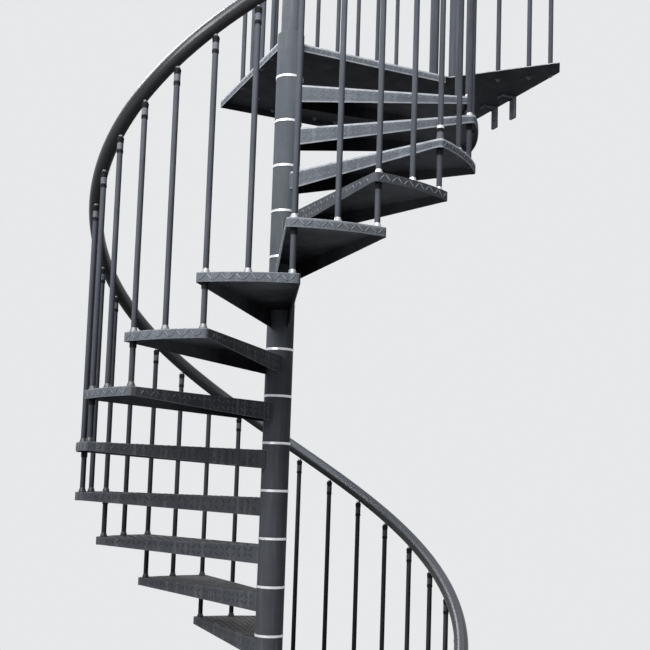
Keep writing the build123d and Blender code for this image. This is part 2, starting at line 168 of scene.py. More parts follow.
# Materials
class Finish:
    """A procedural material built round one Principled shader, in object space."""

    def __init__(self, name, metallic=0.0, specular=0.5):
        self.material = bpy.data.materials.new(name)
        self.material.use_nodes = True
        self.tree = self.material.node_tree
        self.shader = self.tree.nodes["Principled BSDF"]
        self.shader.inputs["Metallic"].default_value = metallic
        self.shader.inputs["Specular IOR Level"].default_value = specular
        self.place = self.add("ShaderNodeTexCoord").outputs["Object"]

    def add(self, kind, **settings):
        """A new node with its settings."""
        made = self.tree.nodes.new(kind)
        for key, value in settings.items():
            setattr(made, key, value)
        return made

    def put(self, value, socket):
        """Links a socket, or writes a plain value on it."""
        if isinstance(value, bpy.types.NodeSocket):
            self.tree.links.new(value, socket)
        else:
            socket.default_value = value

    def noise(self, scale, detail=3.0, stretch=(1.0, 1.0, 1.0)):
        """Noise with features of about 1/scale metres."""
        mapping = self.add("ShaderNodeMapping")
        mapping.inputs["Scale"].default_value = stretch
        self.put(self.place, mapping.inputs["Vector"])
        made = self.add("ShaderNodeTexNoise")
        made.inputs["Scale"].default_value = scale
        made.inputs["Detail"].default_value = detail
        self.put(mapping.outputs["Vector"], made.inputs["Vector"])
        return made.outputs["Fac"]

    def cells(self, scale):
        """Flat random cells, as the spangle of zinc has."""
        made = self.add("ShaderNodeTexVoronoi")
        made.inputs["Scale"].default_value = scale
        self.put(self.place, made.inputs["Vector"])
        parts = self.add("ShaderNodeSeparateColor")
        self.put(made.outputs["Color"], parts.inputs["Color"])
        return parts.outputs[0]

    def height(self):
        """Height above the floor."""
        parts = self.add("ShaderNodeSeparateXYZ")
        self.put(self.place, parts.inputs["Vector"])
        return parts.outputs["Z"]

    def reach(self):
        """Distance from the pole's axis."""
        flat = self.add("ShaderNodeVectorMath", operation="MULTIPLY")
        self.put(self.place, flat.inputs[0])
        flat.inputs[1].default_value = (1.0, 1.0, 0.0)
        made = self.add("ShaderNodeVectorMath", operation="LENGTH")
        self.put(flat.outputs["Vector"], made.inputs[0])
        return made.outputs["Value"]

    def facing(self, direction):
        """How far a surface faces a fixed direction, from -1 to 1."""
        geometry = self.add("ShaderNodeNewGeometry")
        made = self.add("ShaderNodeVectorMath", operation="DOT_PRODUCT")
        self.put(geometry.outputs["Normal"], made.inputs[0])
        made.inputs[1].default_value = Vector(direction).normalized()
        return made.outputs["Value"]

    def painted(self, name):
        """A value that each vertex of the mesh carries."""
        return self.add("ShaderNodeAttribute", attribute_name=name).outputs["Fac"]

    def remap(self, value, low, high, new_low=0.0, new_high=1.0):
        """A value moved from one range to another, and kept inside it."""
        made = self.add("ShaderNodeMapRange")
        ends = {"From Min": low, "From Max": high, "To Min": new_low, "To Max": new_high}
        for socket, number in ends.items():
            made.inputs[socket].default_value = number
        self.put(value, made.inputs["Value"])
        return made.outputs["Result"]

    def math(self, operation, first, second):
        """A sum, product or other operation on two values."""
        made = self.add("ShaderNodeMath", operation=operation)
        self.put(first, made.inputs[0])
        self.put(second, made.inputs[1])
        return made.outputs[0]

    def mix(self, share, first, second):
        """Two colours mixed by a share."""
        made = self.add("ShaderNodeMix", data_type="RGBA")
        self.put(share, made.inputs["Factor"])
        for colour, socket in ((first, made.inputs["A"]), (second, made.inputs["B"])):
            if isinstance(colour, tuple):
                colour = (*colour, 1.0)
            self.put(colour, socket)
        return made.outputs["Result"]

    def rounded(self, radius):
        """Normals that are rounded over at sharp edges."""
        made = self.add("ShaderNodeBevel", samples=6)
        made.inputs["Radius"].default_value = radius
        return made.outputs["Normal"]

    def edge(self, normal, low=0.80, high=0.995):
        """A mask of the sharp edges: where the rounded normal leaves the true one."""
        geometry = self.add("ShaderNodeNewGeometry")
        made = self.add("ShaderNodeVectorMath", operation="DOT_PRODUCT")
        self.put(normal, made.inputs[0])
        self.put(geometry.outputs["Normal"], made.inputs[1])
        return self.remap(made.outputs["Value"], low, high, 1.0, 0.0)

    def bump(self, value, distance, normal=None):
        """A relief of a real depth, on top of another one."""
        made = self.add("ShaderNodeBump")
        made.inputs["Strength"].default_value = 1.0
        made.inputs["Distance"].default_value = distance
        self.put(value, made.inputs["Height"])
        if normal is not None:
            self.put(normal, made.inputs["Normal"])
        return made.outputs["Normal"]

    def finish(self, colour, roughness, normal=None):
        """Puts the last colour, roughness and normal on the shader."""
        self.put(colour, self.shader.inputs["Base Color"])
        self.put(roughness, self.shader.inputs["Roughness"])
        if normal is not None:
            self.put(normal, self.shader.inputs["Normal"])
        return self.material


def fold_highlights(coat, depth_at_hub):
    """Mask of painted highlights along a lip's fold and lower edge, high on the stair."""
    share = coat.math("FRACT", coat.math("DIVIDE", coat.height(), riser), 0.0)
    drop = coat.math("MULTIPLY", coat.math("SUBTRACT", 1.0, share), riser)
    depth = coat.remap(coat.reach(), hub_radius, lip_end, depth_at_hub, tip_lip)
    fold = coat.remap(drop, *fold_band, 1.0, 0.0)
    lower = coat.remap(coat.math("SUBTRACT", depth, drop), *lower_band, 0.58, 0.0)
    patchy = coat.remap(coat.noise(26.0, 5.0), 0.32, 0.60, 0.55, 1.0)
    line = coat.math("MULTIPLY", coat.math("MAXIMUM", fold, lower), patchy)
    return coat.math("MULTIPLY", line, coat.remap(coat.height(), *fold_highlight_heights))


def powder_coat(
    name, low_tone, high_tone, edge_and_highlight_tone, dust_tone, dust, specular, edge_width=0.0016, depth_at_hub=0.0
):
    """Powder coat, lighter with height and on its lit side as painted light and shade."""
    paint = Finish(name, specular=specular)
    # Painted shade low down and on the far side, painted light high up and on the lit side
    painted_height_light = paint.remap(paint.height(), painted_light_from, painted_light_to)
    painted_side_light = paint.remap(paint.facing(lit_side), -0.6, 0.9, -painted_side_light_share, painted_side_light_share)
    colour = paint.mix(paint.math("ADD", painted_height_light, painted_side_light), low_tone, high_tone)
    patches = paint.remap(paint.noise(7.0, 4.0), 0.38, 0.66)
    colour = paint.mix(paint.math("MULTIPLY", patches, 0.20), colour, (0.02, 0.022, 0.026))
    streaks = paint.remap(paint.noise(60.0, 3.0, (1.0, 1.0, 0.06)), 0.52, 0.72)
    colour = paint.mix(paint.math("MULTIPLY", streaks, 0.14), colour, edge_and_highlight_tone)
    dirt = paint.remap(paint.noise(22.0, 6.0), 0.45, 0.70)
    colour = paint.mix(paint.math("MULTIPLY", dirt, dust), colour, dust_tone)
    # Lighter sharp edges: partly worn paint, partly a painted highlight that grows with height
    rounded = paint.rounded(edge_width)
    edges = paint.edge(rounded)
    edge_wear_and_highlight = paint.remap(paint.noise(45.0, 5.0), 0.30, 0.62, 0.25, 1.0)
    edge_wear_and_highlight = paint.math("MULTIPLY", paint.math("MULTIPLY", edges, edge_wear_and_highlight), 0.75)
    edge_highlight_by_height = paint.remap(paint.height(), 0.9, 2.2, 0.30, 1.0)
    colour = paint.mix(paint.math("MULTIPLY", edge_wear_and_highlight, edge_highlight_by_height), colour, edge_and_highlight_tone)
    # Painted highlights along the lips' folds and lower edges
    if depth_at_hub:
        colour = paint.mix(fold_highlights(paint, depth_at_hub), colour, edge_and_highlight_tone)
    roughness = paint.remap(paint.noise(16.0, 4.0), 0.30, 0.70, 0.55, 0.75)
    normal = paint.bump(paint.noise(520.0, 2.0), 0.00012, rounded)
    normal = paint.bump(paint.noise(34.0, 2.0), 0.00035, normal)
    return paint.finish(colour, roughness, normal)


def rubbed_bars(name, low_tone, high_tone):
    """The raised bars of the chequer plate: the sheet's paint, with crowns partly worn and partly a painted
    highlight.
    """
    bars = Finish(name, specular=0.06)
    # Painted shade low down and on the far side, painted light high up and on the lit side
    painted_height_light = bars.remap(bars.height(), painted_light_from, painted_light_to)
    painted_side_light = bars.remap(bars.facing(lit_side), -0.6, 0.9, -painted_side_light_share, painted_side_light_share)
    colour = bars.mix(bars.math("ADD", painted_height_light, painted_side_light), low_tone, high_tone)
    # Painted highlight: the crowns turn light higher up on the stair
    crown = bars.mix(bars.remap(bars.height(), 1.5, 2.3), (0.045, 0.047, 0.053), (0.36, 0.38, 0.41))
    patchy = bars.remap(bars.noise(30.0, 5.0), 0.34, 0.62, 0.45, 1.0)
    colour = bars.mix(bars.math("MULTIPLY", bars.painted("wear_and_highlight"), patchy), colour, crown)
    roughness = bars.remap(bars.noise(20.0, 3.0), 0.3, 0.7, 0.40, 0.60)
    normal = bars.bump(bars.noise(600.0, 2.0), 0.00008)
    return bars.finish(colour, roughness, normal)


def shade_coat(name, hub_tone, tip_tone):
    """Painted shade for a tread's underside: almost black by the hub, greyer towards the tip."""
    under = Finish(name, specular=0.03)
    patches = under.remap(under.noise(9.0, 4.0), 0.36, 0.66, -0.18, 0.18)
    share = under.math("ADD", under.remap(under.reach(), 0.22, 0.66), patches)
    colour = under.mix(share, hub_tone, tip_tone)
    dirt = under.remap(under.noise(30.0, 6.0), 0.48, 0.72, 0.0, 0.25)
    colour = under.mix(dirt, colour, (0.026, 0.024, 0.022))
    roughness = under.remap(under.noise(16.0, 4.0), 0.30, 0.70, 0.6, 0.8)
    normal = under.bump(under.noise(520.0, 2.0), 0.00012, under.rounded(0.0016))
    normal = under.bump(under.noise(34.0, 2.0), 0.00035, normal)
    return under.finish(colour, roughness, normal)


def handrail_finish(name):
    """Semi-gloss black of the handrail, with a painted highlight on its open face, painted light on top and
    painted shade underneath, where it is also duller.
    """
    rail = Finish(name, specular=0.5)
    patches = rail.remap(rail.noise(7.0, 3.0), 0.36, 0.66)
    colour = rail.mix(patches, (0.006, 0.007, 0.009), (0.012, 0.014, 0.017))
    bloom = rail.remap(rail.noise(3.0, 2.0, (1.0, 1.0, 0.5)), 0.45, 0.75, 0.0, 0.25)
    colour = rail.mix(bloom, colour, (0.030, 0.036, 0.042))
    # Painted highlight: a light band on faces turned up towards the front, strongest at about 1.7 to 1.9 m
    # up
    painted_highlight_band = rail.remap(rail.facing((-0.38, -0.76, 0.53)), 0.76, 0.99)
    highlight_strength = rail.remap(rail.height(), 1.9, 3.0, 1.0, 0.20)
    highlight_strength = rail.math("MULTIPLY", highlight_strength, rail.remap(rail.height(), 1.15, 1.70, 0.35, 1.0))
    colour = rail.mix(rail.math("MULTIPLY", painted_highlight_band, highlight_strength), colour, (0.19, 0.205, 0.235))
    # Painted light: lighter on the faces turned up
    upper = rail.remap(rail.facing((-0.20, -0.10, 1.0)), 0.45, 0.98, 0.0, 0.15)
    colour = rail.mix(upper, colour, (0.20, 0.205, 0.225))
    # Painted shade: near black underneath, where the rail is also rougher
    underside_shade = rail.remap(rail.facing((0.0, 0.0, -1.0)), 0.15, 0.75)
    colour = rail.mix(underside_shade, colour, (0.003, 0.003, 0.004))
    roughness = rail.remap(rail.noise(20.0, 3.0), 0.3, 0.7, 0.27, 0.35)
    roughness = rail.math("MAXIMUM", roughness, rail.math("MULTIPLY", underside_shade, 0.9))
    normal = rail.bump(rail.noise(60.0, 2.0), 0.00002)
    return rail.finish(colour, roughness, normal)


def black_plastic(name):
    """Matt black of collars, grooves and caps."""
    part = Finish(name, specular=0.12)
    patches = part.remap(part.noise(40.0, 3.0), 0.35, 0.65)
    colour = part.mix(patches, (0.004, 0.004, 0.005), (0.009, 0.009, 0.011))
    roughness = part.remap(part.noise(90.0, 3.0), 0.3, 0.7, 0.55, 0.75)
    normal = part.bump(part.noise(700.0, 2.0), 0.00008, part.rounded(0.001))
    return part.finish(colour, roughness, normal)


def zinc(name, dull_tone, bright_tone):
    """Zinc with a fine spangle and a little white bloom."""
    metal = Finish(name, metallic=0.55, specular=0.5)
    spangle = metal.cells(380.0)
    colour = metal.mix(spangle, dull_tone, bright_tone)
    bloom = metal.remap(metal.noise(70.0, 5.0), 0.45, 0.72)
    colour = metal.mix(metal.math("MULTIPLY", bloom, 0.45), colour, (0.52, 0.53, 0.54))
    roughness = metal.remap(spangle, 0.0, 1.0, 0.28, 0.46)
    normal = metal.bump(metal.noise(500.0, 2.0), 0.00008, metal.rounded(0.0008))
    return metal.finish(colour, roughness, normal)


def foot_zinc(name):
    """Zinc of the feet: bright high on the stair as painted light, dark low down as painted shade, with
    patches of grime.
    """
    metal = Finish(name, metallic=0.45, specular=0.4)
    # Painted light and shade: bright zinc high up, near black low down
    painted_light_by_height = metal.remap(metal.height(), 1.90, 2.90)
    lit_zinc_tone = metal.mix(metal.cells(380.0), (0.56, 0.57, 0.59), (0.80, 0.81, 0.82))
    colour = metal.mix(painted_light_by_height, (0.055, 0.056, 0.060), lit_zinc_tone)
    grime = metal.remap(metal.noise(60.0, 5.0), 0.42, 0.70)
    colour = metal.mix(metal.math("MULTIPLY", grime, 0.4), colour, (0.07, 0.07, 0.072))
    roughness = metal.remap(metal.noise(90.0, 3.0), 0.3, 0.7, 0.34, 0.55)
    normal = metal.bump(metal.noise(500.0, 2.0), 0.00008, metal.rounded(0.0008))
    return metal.finish(colour, roughness, normal)


def dull_steel(name):
    """Nuts and washers that have lost their shine."""
    metal = Finish(name, metallic=0.3, specular=0.3)
    patches = metal.remap(metal.noise(150.0, 4.0), 0.35, 0.65)
    colour = metal.mix(patches, (0.045, 0.046, 0.050), (0.13, 0.14, 0.15))
    roughness = metal.remap(metal.noise(200.0, 3.0), 0.3, 0.7, 0.45, 0.70)
    normal = metal.bump(metal.noise(600.0, 2.0), 0.00008, metal.rounded(0.0006))
    return metal.finish(colour, roughness, normal)


def seen_directly(tree):
    """1 for rays from the camera, mirrored or let through, 0 for scattered light."""
    path = tree.nodes.new("ShaderNodeLightPath")
    seen = path.outputs["Is Camera Ray"]
    for kind in ("Is Glossy Ray", "Is Transmission Ray"):
        either = tree.nodes.new("ShaderNodeMath")
        either.operation = "MAXIMUM"
        tree.links.new(seen, either.inputs[0])
        tree.links.new(path.outputs[kind], either.inputs[1])
        seen = either.outputs[0]
    return seen


def studio_floor(name):
    """Pale floor that keeps the shadow and turns into the background far out."""
    floor = Finish(name, specular=0.1)
    parts = floor.add("ShaderNodeVectorMath", operation="LENGTH")
    floor.put(floor.place, parts.inputs[0])
    cloud = floor.remap(floor.noise(1.2, 3.0), 0.3, 0.7)
    colour = floor.mix(cloud, floor_tone, tuple(tone * 1.03 for tone in floor_tone))
    floor.finish(colour, floor.remap(floor.noise(8.0, 3.0), 0.3, 0.7, 0.7, 0.8))
    glow = floor.add("ShaderNodeEmission")
    glow.inputs["Color"].default_value = (*background_tone, 1.0)
    share = floor.remap(parts.outputs["Value"], floor_fade_start, floor_fade_end)
    share = floor.math("MULTIPLY", share, seen_directly(floor.tree))
    blend = floor.add("ShaderNodeMixShader")
    floor.put(share, blend.inputs[0])
    floor.put(floor.shader.outputs[0], blend.inputs[1])
    floor.put(glow.outputs[0], blend.inputs[2])
    floor.put(blend.outputs[0], floor.tree.nodes["Material Output"].inputs["Surface"])
    return floor.material


# Tones low and high on the stair: the change between them is painted light and shade
low_paint = (0.0415, 0.0405, 0.0445)
high_paint = (0.130, 0.144, 0.162)
# Tone of worn edges and of the painted highlights on them
rubbed_edge_and_highlight = (0.46, 0.48, 0.51)
sheet_tones = (low_paint, high_paint, rubbed_edge_and_highlight, (0.10, 0.10, 0.10))
paint = powder_coat("graphite_powder_coat", *sheet_tones, 0.22, 0.02, 0.006)
lip_paint = powder_coat("graphite_tread_lips", *sheet_tones, 0.22, 0.02, 0.006, hub_lip)
landing_lip_paint = powder_coat("graphite_landing_lips", *sheet_tones, 0.22, 0.02, 0.006, tip_lip)
# Tubes: near black low down as painted shade, lighter high up as painted light
tube_paint = powder_coat(
    "graphite_tubes",
    (0.010, 0.011, 0.014),
    (0.078, 0.085, 0.100),
    (0.20, 0.21, 0.23),
    (0.06, 0.06, 0.06),
    0.15,
    0.05,
)
# Pole: darker low down as painted shade, lighter high up as painted light
pole_paint = powder_coat(
    "graphite_pole",
    (0.054, 0.054, 0.061),
    (0.098, 0.108, 0.124),
    (0.26, 0.28, 0.30),
    (0.08, 0.08, 0.08),
    0.20,
    0.05,
)
tread_paint = powder_coat(
    "graphite_tread_top",
    (0.092, 0.087, 0.084),
    (0.115, 0.122, 0.132),
    rubbed_edge_and_highlight,
    (0.105, 0.092, 0.078),
    0.45,
    0.10,
)
# Painted shade: dark paint for the landing's underside and inward faces, and the brackets' undersides
underside_shade_paint = powder_coat(
    "graphite_underside_shade",
    (0.017, 0.017, 0.020),
    (0.026, 0.028, 0.033),
    (0.050, 0.054, 0.062),
    (0.026, 0.024, 0.022),
    0.25,
    0.03,
)
# Painted shade: a darker paint for one tread's lips
shade_lip_paint = powder_coat(
    "graphite_lips_shade",
    low_paint,
    (0.082, 0.089, 0.100),
    (0.20, 0.21, 0.23),
    (0.06, 0.06, 0.06),
    0.22,
    0.02,
)
# Painted shade: dark paint for the treads' undersides and inward faces
under_tread_shade_paint = shade_coat(
    "graphite_tread_underside_shade", (0.010, 0.010, 0.012), (0.072, 0.075, 0.082)
)
bar_paint = rubbed_bars("graphite_chequer_bars", low_paint, high_paint)
rail_black = handrail_finish("handrail_semi_gloss")
fitting_black = black_plastic("matt_black_fittings")
zinc_bright = zinc("bright_zinc", (0.70, 0.71, 0.73), (0.88, 0.89, 0.90))
pad_zinc = zinc("weathered_zinc", (0.20, 0.205, 0.215), (0.36, 0.365, 0.375))
zinc_foot = foot_zinc("zinc_lit_by_height")
nut_steel = dull_steel("dull_steel")
# Knuckles: near black low down as painted shade, light grey high up as painted light
knuckle_grey = powder_coat(
    "graphite_knuckle",
    (0.010, 0.011, 0.013),
    (0.13, 0.14, 0.16),
    (0.24, 0.25, 0.27),
    (0.06, 0.06, 0.06),
    0.15,
    0.15,
)


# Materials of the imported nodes
def dress(node, materials, choose=None):
    """Gives a node its materials. choose picks one for each face by its place."""
    mesh = nodes[node].data
    mesh.materials.clear()
    for material in materials:
        mesh.materials.append(material)
    for polygon in mesh.polygons:
        polygon.material_index = choose(polygon.center, polygon.normal) if choose else 0


def tread_side(step):
    """Chooses top, underside or outer paint for a face of one tread."""
    middle = nominal_angle(step) + tread_turn / 2
    across = polar(1.0, middle + 90)

    def choose(centre, normal):
        reach = hypot(centre.x, centre.y)
        if reach < hub_radius + hub_face:
            return 3
        if normal.z > 0.5:
            return 1
        if normal.z < -0.5:
            return 2
        outward = Vector((centre.x, centre.y, 0)) / reach
        sideways = normal.dot(across)
        # Inward faces, under the tray, get the underside paint: painted shade
        if abs(sideways) > 0.7:
            return 2 if sideways * centre.dot(across) < 0 else 0
        return 2 if normal.dot(outward) < 0 else 0

    return choose


def landing_side(centre, normal):
    """Chooses top, underside or outer paint for a face of the landing plate."""
    if hypot(centre.x, centre.y) < hub_radius + hub_face:
        return 3
    if normal.z > 0.5:
        return 1
    if normal.z < -0.5:
        return 2
    middle = Vector((0.55, 0.35, centre.z))
    # Inward faces get the underside paint: painted shade
    return 2 if normal.dot(middle - centre) > 0 else 0


def adapter_part(height):
    """0 for the knuckle, 1 for a black ring or the saddle, 2 for the pad on top."""
    first = adapter_ring
    second = first + adapter_knuckle
    third = second + adapter_ring
    if first + band_margin < height < second - band_margin:
        return 0
    if height > third + adapter_saddle + band_margin:
        return 2
    return 1


def main_materials():
    """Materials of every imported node."""
    for step in range(1, tread_count + 1):
        outside = shade_lip_paint if step == shade_tread else lip_paint
        tray = [outside, tread_paint, under_tread_shade_paint, pole_paint]
        dress(f"tread_{step:02d}", tray, tread_side(step))
    dress("landing_plate", [landing_lip_paint, tread_paint, underside_shade_paint, pole_paint], landing_side)
    for name in ("base_flange", "centre_pole"):
        dress(name, [pole_paint])
    for name in ("bottom_newel", "landing_corner_post", "landing_wall_post", "tie_spacers"):
        dress(name, [tube_paint])
    for name in ("balusters_lower", "balusters_middle", "balusters_upper", "landing_balusters"):
        dress(name, [tube_paint])
    for name in ("handrail_lower", "handrail_middle", "handrail_upper", "landing_rail", "side_rail"):
        dress(name, [rail_black])
    dress("spacer_rings", [zinc_bright])
    for name in ("stair_feet", "tie_feet", "landing_feet"):
        dress(name, [zinc_foot])
    for name in ("pole_cap", "handrail_caps", "tie_collars"):
        dress(name, [fitting_black])
    # Downward faces of the brackets get the underside paint: painted shade
    dress("wall_brackets", [paint, underside_shade_paint], lambda centre, normal: 1 if normal.z < -0.5 else 0)


def dress_adapters(node):
    """Bands of grey, black and zinc on the adapters, by height in each adapter."""
    mesh = nodes[node].data
    mesh.materials.clear()
    for material in (knuckle_grey, fitting_black, pad_zinc):
        mesh.materials.append(material)
    islands = vertex_islands(mesh)
    lowest = {}
    for vertex in mesh.vertices:
        island = islands[vertex.index]
        lowest[island] = min(lowest.get(island, vertex.co.z), vertex.co.z)
    for polygon in mesh.polygons:
        height = polygon.center.z - lowest[islands[polygon.vertices[0]]]
        polygon.material_index = adapter_part(height)


def vertex_islands(mesh):
    """Number of the connected piece of each vertex, with vertices joined by place."""
    parent = list(range(len(mesh.vertices)))

    def root(index):
        while parent[index] != index:
            parent[index] = parent[parent[index]]
            index = parent[index]
        return index

    seen = {}
    for vertex in mesh.vertices:
        key = tuple(round(value, 5) for value in vertex.co)
        first = seen.setdefault(key, vertex.index)
        parent[root(vertex.index)] = root(first)
    for polygon in mesh.polygons:
        first = root(polygon.vertices[0])
        for index in polygon.vertices:
            parent[root(index)] = first
    return [root(index) for index in range(len(mesh.vertices))]


# Extra pieces
class Piece:
    """Vertices and faces of one extra piece, gathered from many small shapes."""

    def __init__(self):
        self.vertices = []
        self.faces = []
        self.wear_and_highlight = []

    def shape(self, points, faces, wear_and_highlight=None):
        """Adds one closed shape, with how worn and how highlighted each of its points is."""
        start = len(self.vertices)
        self.wear_and_highlight += wear_and_highlight or [0.0] * len(points)
        self.vertices += [tuple(point) for point in points]
        self.faces += [tuple(start + index for index in face) for face in faces]

    def turned(self, profile, base, segments=24):
        """Adds a ring or solid turned about an upright axis: (radius, height) pairs."""
        points = []
        for radius, height in profile:
            for index in range(segments):
                angle = 2 * pi * index / segments
                points.append(base + Vector((radius * cos(angle), radius * sin(angle), height)))
        count = len(profile)
        faces = []
        for row in range(count):
            above = (row + 1) % count
            for index in range(segments):
                beside = (index + 1) % segments
                faces.append(
                    (
                        row * segments + index,
                        row * segments + beside,
                        above * segments + beside,
                        above * segments + index,
                    )
                )
        self.shape(points, faces)

    def tube(self, path, radii, sides=8):
        """Adds a closed tube along a path, with a radius for each point."""
        points = []
        for index, point in enumerate(path):
            before = path[max(index - 1, 0)]
            after = path[min(index + 1, len(path) - 1)]
            along = (after - before).normalized()
            helper = Vector((0, 0, 1)) if abs(along.z) < 0.9 else Vector((1, 0, 0))
            first = along.cross(helper).normalized()
            second = along.cross(first)
            for side in range(sides):
                angle = 2 * pi * side / sides
                points.append(point + (first * cos(angle) + second * sin(angle)) * radii[index])
        faces = []
        for row in range(len(path) - 1):
            for side in range(sides):
                beside = (side + 1) % sides
                faces.append(
                    (
                        row * sides + side,
                        (row + 1) * sides + side,
                        (row + 1) * sides + beside,
                        row * sides + beside,
                    )
                )
        faces.append(tuple(range(sides)))
        faces.append(tuple(reversed(range((len(path) - 1) * sides, len(path) * sides))))
        self.shape(points, faces)

    def make(self, name, material, slot, smooth=True):
        """Makes the object, which rides on the staircase."""
        mesh = bpy.data.meshes.new(name)
        mesh.from_pydata(self.vertices, [], self.faces)
        mesh.materials.append(material)
        if any(self.wear_and_highlight):
            worn = mesh.attributes.new("wear_and_highlight", "FLOAT", "POINT")
            worn.data.foreach_set("value", self.wear_and_highlight)
        if smooth:
            mesh.shade_smooth()
        mesh.validate()
        piece = bpy.data.objects.new(name, mesh)
        bpy.context.scene.collection.objects.link(piece)
        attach(piece, "root")


# Raised bars
bar_ring = [
    (-0.5, 0.0),
    (-0.28, -0.38),
    (0.0, -0.5),
    (0.28, -0.38),
    (0.5, 0.0),
    (0.28, 0.38),
    (0.0, 0.5),
    (-0.28, 0.38),
]
bar_ridge = [(-0.26, 0.85), (0.0, 1.0), (0.26, 0.85)]
bar_faces = [
    (0, 1, 8),
    (1, 2, 9, 8),
    (2, 3, 10, 9),
    (3, 4, 10),
    (4, 5, 10),
    (5, 6, 9, 10),
    (6, 7, 8, 9),
    (7, 0, 8),
    (7, 6, 5, 4, 3, 2, 1, 0),
]


def add_bar(piece, centre, along, across, outward, wear_and_highlight, length=bar_length):
    """One lens-shaped bar that stands on a face, more or less worn and highlighted on its crown."""
    points = []
    for length_share, width_share in bar_ring:
        offset = along * (length_share * length) + across * (width_share * bar_width)
        points.append(centre + offset - outward * bar_sink)
    for length_share, height_share in bar_ridge:
        points.append(centre + along * (length_share * length) + outward * (height_share * bar_height))
    wear_and_highlight *= random.uniform(0.7, 1.0)
    piece.shape(points, bar_faces, [0.0] * len(bar_ring) + [wear_and_highlight * share for _, share in bar_ridge])


def bar_directions(first, second, turned):
    """Long and short direction of a bar that lies at 45 degrees to a lattice."""
    sign = 1 if turned else -1
    along = (first + second * sign).normalized()
    across = (second - first * sign).normalized()
    return along, across


def inside_wedge(radial, sideways, margin):
    """Whether a point of the tread's top, from its bisector, clears every edge."""
    reach = hypot(radial, sideways)
    if reach > tread_radius - margin or reach < hub_radius + hub_seam + margin:
        return False
    half = radians(tread_turn / 2)
    edge_distance = edge_overhang + radial * sin(half) - abs(sideways) * cos(half)
    return edge_distance > margin


def chequer_tread_top(piece, step):
    """Bars on the top of one tread, in rows along its bisector."""
    middle = nominal_angle(step) + tread_turn / 2
    radial = polar(1.0, middle)
    sideways = polar(1.0, middle + 90)
    height = Vector((0, 0, step * riser))
    rows = int(tread_radius / bar_pitch) + 1
    side_rows = int(tread_half_width / bar_pitch)
    half_length = bar_length / 2
    for row in range(2, rows):
        for side in range(-side_rows, side_rows + 1):
            along, across = bar_directions(radial, sideways, (row + side) % 2)
            spot = (row * bar_pitch, side * bar_pitch)
            outward_half = half_length * along.dot(radial)
            sideways_half = half_length * along.dot(sideways)
            ends = [(spot[0] + sign * outward_half, spot[1] + sign * sideways_half) for sign in (-1, 1)]
            if not all(inside_wedge(*end, bar_margin) for end in ends):
                continue
            centre = radial * spot[0] + sideways * spot[1] + height
            add_bar(piece, centre, along, across, Vector((0, 0, 1)), plain_wear_and_highlight)


def chequer_tread_lips(piece, step):
    """Bars on the folded lips of one tread: two tapering sides and the tip."""
    start = nominal_angle(step)
    top = step * riser
    down = Vector((0, 0, -1))
    for side_angle, side in ((start, -1), (start + tread_turn, 1)):
        radial = polar(1.0, side_angle)
        outward = polar(1.0, side_angle + 90) * side
        for column in range(3, int(lip_end / bar_pitch) + 1):
            reach = column * bar_pitch + lip_bar_shift
            depth = hub_lip + (tip_lip - hub_lip) * (reach - hub_radius) / (lip_end - hub_radius)
            for row in range(3):
                drop = tip_lip / 2 + row * bar_pitch
                if drop + bar_half_spread + bar_margin > depth or reach + bar_half_spread > lip_end:
                    continue
                along, across = bar_directions(radial, down, (column + row) % 2)
                centre = radial * reach + outward * edge_overhang + Vector((0, 0, top - drop))
                add_bar(piece, centre, along, across, outward, plain_wear_and_highlight)
    edge_angle = degrees(asin(edge_overhang / tread_radius)) - degrees(2 * corner_round / tread_radius)
    first = start - edge_angle
    last = start + tread_turn + edge_angle
    count = int(radians(last - first) * tread_radius / bar_pitch)
    for index in range(count + 1):
        angle = first + (last - first) * index / count
        outward = polar(1.0, angle)
        along, across = bar_directions(polar(1.0, angle + 90), down, index % 2)
        centre = outward * tread_radius + Vector((0, 0, top - tip_lip / 2))
        add_bar(piece, centre, along, across, outward, tip_wear_and_highlight[index % 2], tip_bar_length)


def inside_landing(x, y, margin):
    """Whether a plan point lies on the landing, clear of its edges and its hub."""
    if hypot(x, y) < hub_radius + hub_seam + margin:
        return False
    if not (landing_left + margin < x < wall_x - margin and y < landing_back - margin):
        return False
    if x < side_start[0]:
        return y > landing_front + margin
    for start, end in ((side_start, side_end), (side_end, wall_corner)):
        run = Vector((end[0] - start[0], end[1] - start[1])).normalized()
        if run.x * (y - start[1]) - run.y * (x - start[0]) < margin:
            return False
    return True


def chequer_landing():
    """Bars on the landing's top and on its folded lips."""
    piece = Piece()
    first = Vector((1, 0, 0))
    second = Vector((0, 1, 0))
    up = Vector((0, 0, 1))
    half_length = bar_length / 2
    columns = int((wall_x - landing_left) / bar_pitch)
    rows = int((landing_back - side_end[1]) / bar_pitch)
    for column in range(columns + 1):
        for row in range(rows + 1):
            along, across = bar_directions(first, second, (column + row) % 2)
            x = landing_left + landing_bar_shift[0] + column * bar_pitch
            y = side_end[1] + landing_bar_shift[1] + row * bar_pitch
            centre = Vector((x, y, landing_level))
            ends = [centre + along * (half_length * sign) for sign in (-1, 1)]
            if all(inside_landing(end.x, end.y, bar_margin) for end in ends):
                add_bar(piece, centre, along, across, up, plain_wear_and_highlight)
    lips = [
        (Vector((front_lip_start, landing_front, 0)), first, -second, side_start[0] - front_lip_start),
        (Vector((landing_left, landing_front, 0)), second, -first, landing_back - landing_front),
        (Vector((landing_left, landing_back, 0)), first, second, wall_x - landing_left),
    ]
    for start, run, outward, length in lips:
        for index in range(int(length / bar_pitch)):
            along, across = bar_directions(run, -up, index % 2)
            centre = start + run * (bar_pitch * (index + 0.5)) + up * (landing_level - tip_lip / 2)
            add_bar(piece, centre, along, across, outward, plain_wear_and_highlight)
    piece.make("chequer_landing", bar_paint, "graphite_paint")


